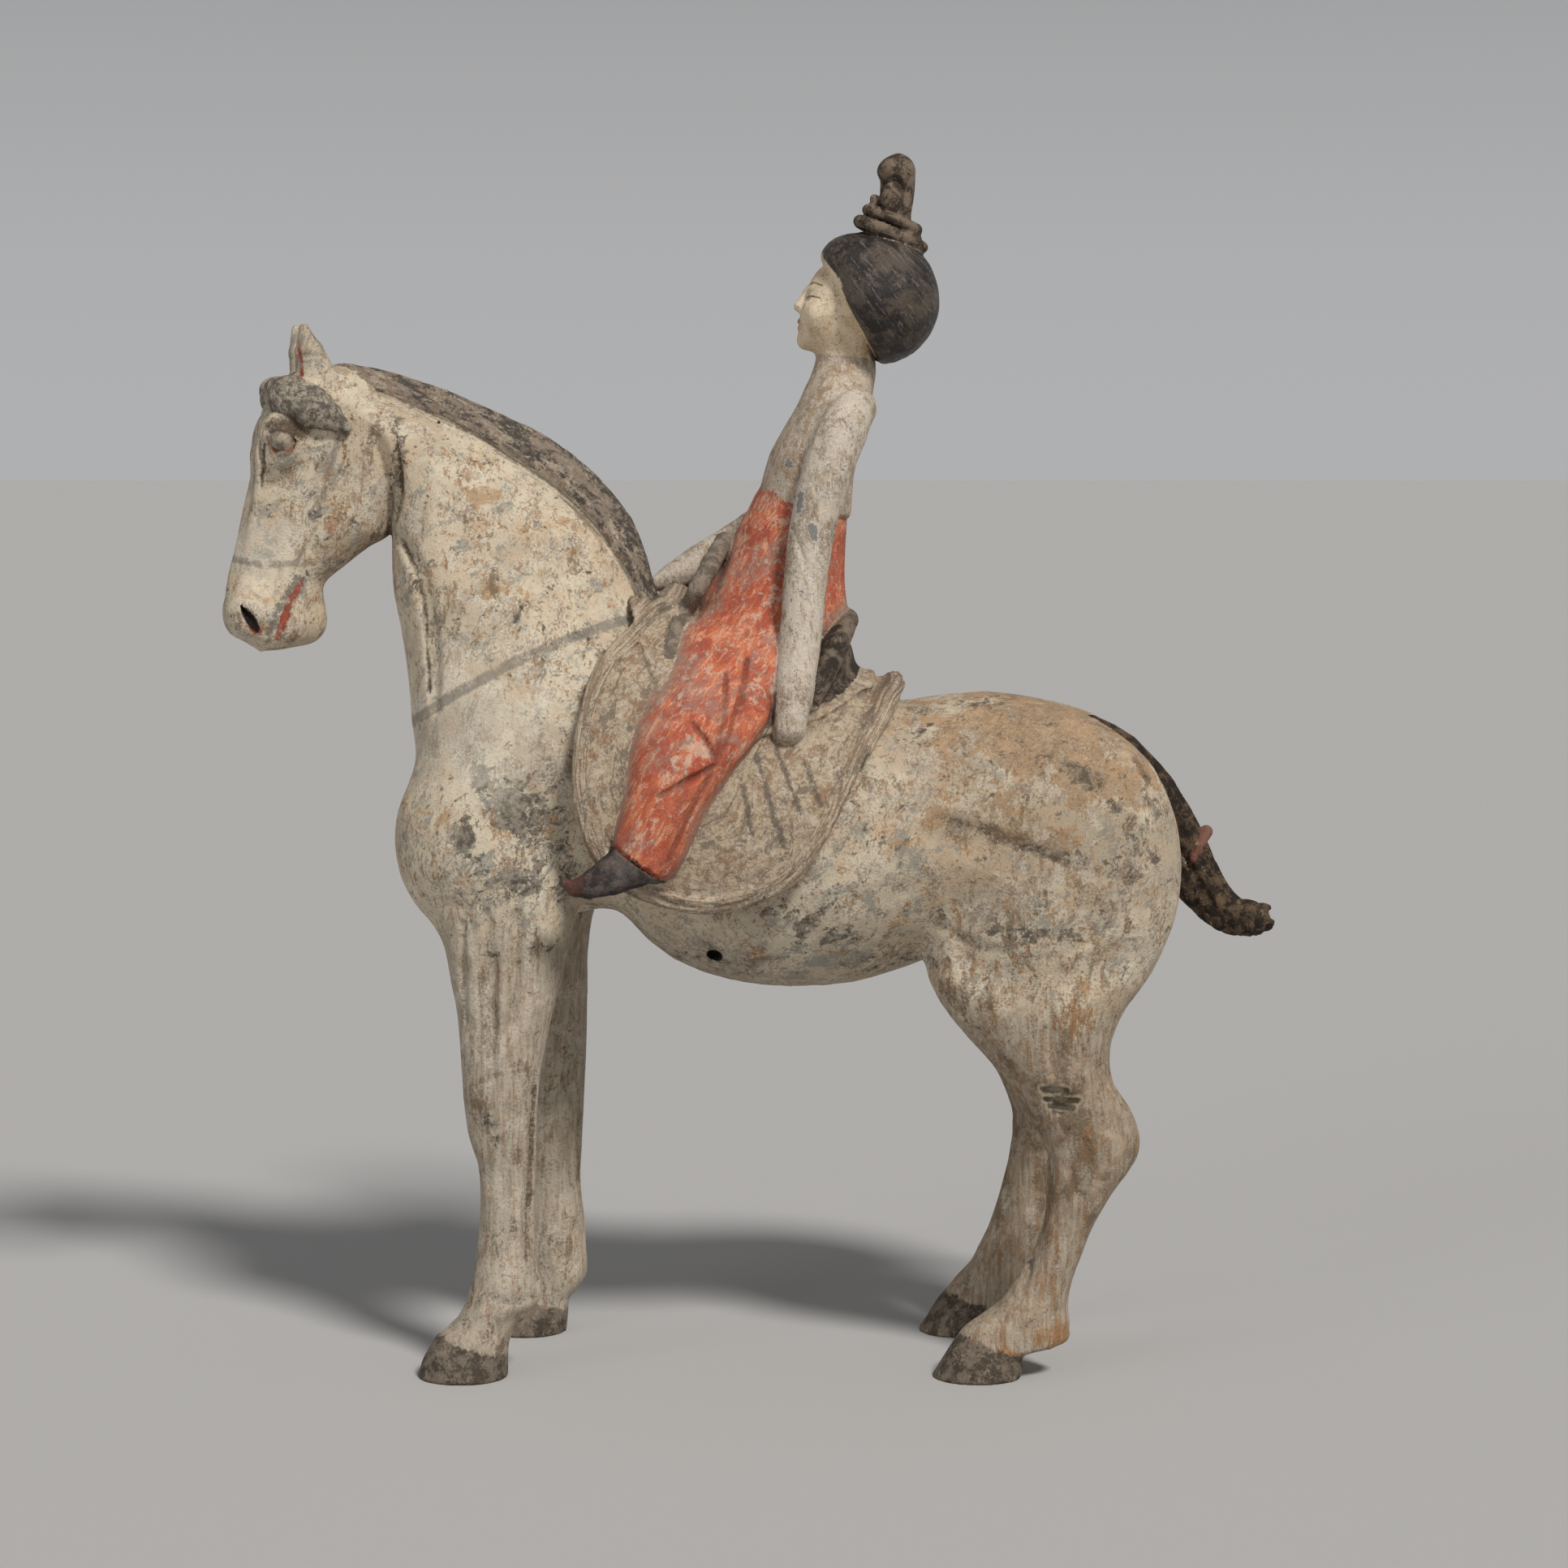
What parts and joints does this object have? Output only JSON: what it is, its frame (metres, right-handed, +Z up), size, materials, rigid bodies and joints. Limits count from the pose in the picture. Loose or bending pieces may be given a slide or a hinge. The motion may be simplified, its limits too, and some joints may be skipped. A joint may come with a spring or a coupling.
{
  "type": "equestrian figure",
  "caption": "Painted terracotta horse standing on its hooves, with a lady rider seated on her saddle cloth as a lift-off piece.",
  "frame": {"origin": "middle of the figure's length and width, on the floor that the four hooves stand on", "axes": "+Z up; the horse faces -X; the horse's left side is towards -Y"},
  "size_m": [0.4313, 0.1517, 0.4942],
  "materials": {
    "horse_slip": "matte cream slip over fired clay, with earth stains and grey wear",
    "rider_paint": "matte mineral paint over fired clay: cream bodice, orange red skirt, grey brown saddle cloth, dark hair and boots"
  },
  "bodies": {
    "root": {"horse": "horse_slip", "rider_and_saddle": "rider_paint"}
  },
  "joints": []
}
